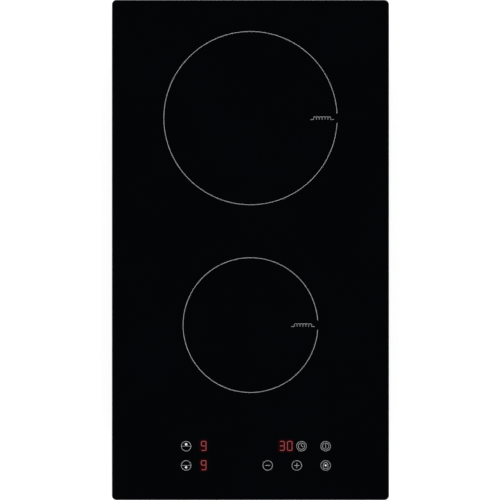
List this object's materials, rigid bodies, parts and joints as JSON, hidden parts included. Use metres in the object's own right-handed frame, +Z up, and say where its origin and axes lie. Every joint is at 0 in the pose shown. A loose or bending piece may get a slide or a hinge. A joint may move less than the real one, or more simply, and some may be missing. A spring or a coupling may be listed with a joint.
{
  "type": "electric induction cooktop",
  "caption": "Narrow built-in induction hob: black glass plate with printed cooking zones and touch controls, over a steel tray with wound coils, fan, electronics and clamp brackets.",
  "frame": {"origin": "under the middle of the hob, on the surface that the floor of its tray stands on", "axes": "+X to the right of the user, +Y to the rear of the worktop, +Z up out of the glass"},
  "size_m": [0.288, 0.52, 0.056],
  "materials": {
    "black_glass": "polished black glass-ceramic, opaque",
    "galvanised_steel": "zinc-coated sheet with a faint spangle",
    "screw_steel": "bright zinc",
    "black_rubber": "matt",
    "grey_silicone": "satin",
    "aluminium_sheet": "mill finish",
    "copper_wire": "enamelled copper strand",
    "carrier_moulding": "glass-filled moulding",
    "ferrite": "fired ferrite",
    "mica": "pressed mica",
    "white_silicone": "matt",
    "fan_plastic": "fine texture",
    "brass_turned": "turned",
    "magnet": "bonded magnet",
    "insulating_film": "translucent film",
    "circuit_board": "solder mask",
    "black_component": "moulded",
    "white_moulding": "moulded",
    "capacitor_grey": "potted",
    "can_sleeve": "shrink sleeve",
    "wire_insulation": "insulated",
    "terminal_moulding": "flame-retardant moulding"
  },
  "bodies": {
    "hob": {"base_tray": "galvanised_steel", "board_film": "insulating_film", "board_screws": "screw_steel", "board_sockets": "white_moulding", "board_standoffs": "white_moulding", "bracket_nuts": "screw_steel", "bracket_screws": "screw_steel", "cable_grommet": "black_rubber", "case_screws": "screw_steel", "choke_core": "ferrite", "choke_windings": "copper_wire", "clamp_screws": "brass_turned", "coil_leads": "white_silicone", "coil_plate": "aluminium_sheet", "coil_studs": "brass_turned", "control_board": "circuit_board", "control_carrier": "black_component", "control_ribbon": "wire_insulation", "cover_hinge_pin": "screw_steel", "digit_displays": "black_component", "electrolytic_capacitors": "can_sleeve", "fan_bearing": "brass_turned", "fan_frame": "fan_plastic", "fan_screws": "screw_steel", "fan_stator": "screw_steel", "film_capacitors": "capacitor_grey", "floor_screws": "screw_steel", "front_coil_carrier": "carrier_moulding", "front_coil_winding": "copper_wire", "front_ferrites": "ferrite", "front_mica_sheet": "mica", "glass_bond": "grey_silicone", "glass_rails": "galvanised_steel", "glass_top": "black_glass", "heatsink": "aluminium_sheet", "mains_wires": "wire_insulation", "plate_posts": "screw_steel", "plate_screws": "screw_steel", "power_board": "circuit_board", "power_semiconductors": "black_component", "rear_coil_carrier": "carrier_moulding", "rear_coil_winding": "copper_wire", "rear_ferrites": "ferrite", "rear_mica_sheet": "mica", "signal_leads": "wire_insulation", "supply_transformer": "ferrite", "temperature_sensors": "white_silicone", "terminal_block": "white_moulding", "terminal_box": "terminal_moulding", "touch_springs": "screw_steel", "worktop_seal": "black_rubber"},
    "fan_rotor": {"fan_impeller": "fan_plastic", "fan_magnet": "magnet", "fan_shaft": "screw_steel"},
    "terminal_cover": {"terminal_cover": "terminal_moulding"},
    "bracket_front_left": {"bracket_front_left": "galvanised_steel"},
    "bracket_front_right": {"bracket_front_right": "galvanised_steel"},
    "bracket_rear_left": {"bracket_rear_left": "galvanised_steel"},
    "bracket_rear_right": {"bracket_rear_right": "galvanised_steel"}
  },
  "joints": [
    {"name": "fan_spin", "type": "hinge", "parent": "hob", "child": "fan_rotor", "pos_m": [-0.067, 0.17, 0.0125], "axis": [0, 0, 1], "continuous": true},
    {"name": "terminal_cover_hinge", "type": "hinge", "parent": "hob", "child": "terminal_cover", "pos_m": [0.08, 0.193, 0.0024], "axis": [-1, 0, 0], "range_deg": [0, 95]},
    {"name": "bracket_front_left_slide", "type": "slide", "parent": "hob", "child": "bracket_front_left", "axis": [0, 0, 1], "range_m": [-0.008, 0.008]},
    {"name": "bracket_front_right_slide", "type": "slide", "parent": "hob", "child": "bracket_front_right", "axis": [0, 0, 1], "range_m": [-0.008, 0.008]},
    {"name": "bracket_rear_left_slide", "type": "slide", "parent": "hob", "child": "bracket_rear_left", "axis": [0, 0, 1], "range_m": [-0.008, 0.008]},
    {"name": "bracket_rear_right_slide", "type": "slide", "parent": "hob", "child": "bracket_rear_right", "axis": [0, 0, 1], "range_m": [-0.008, 0.008]}
  ]
}
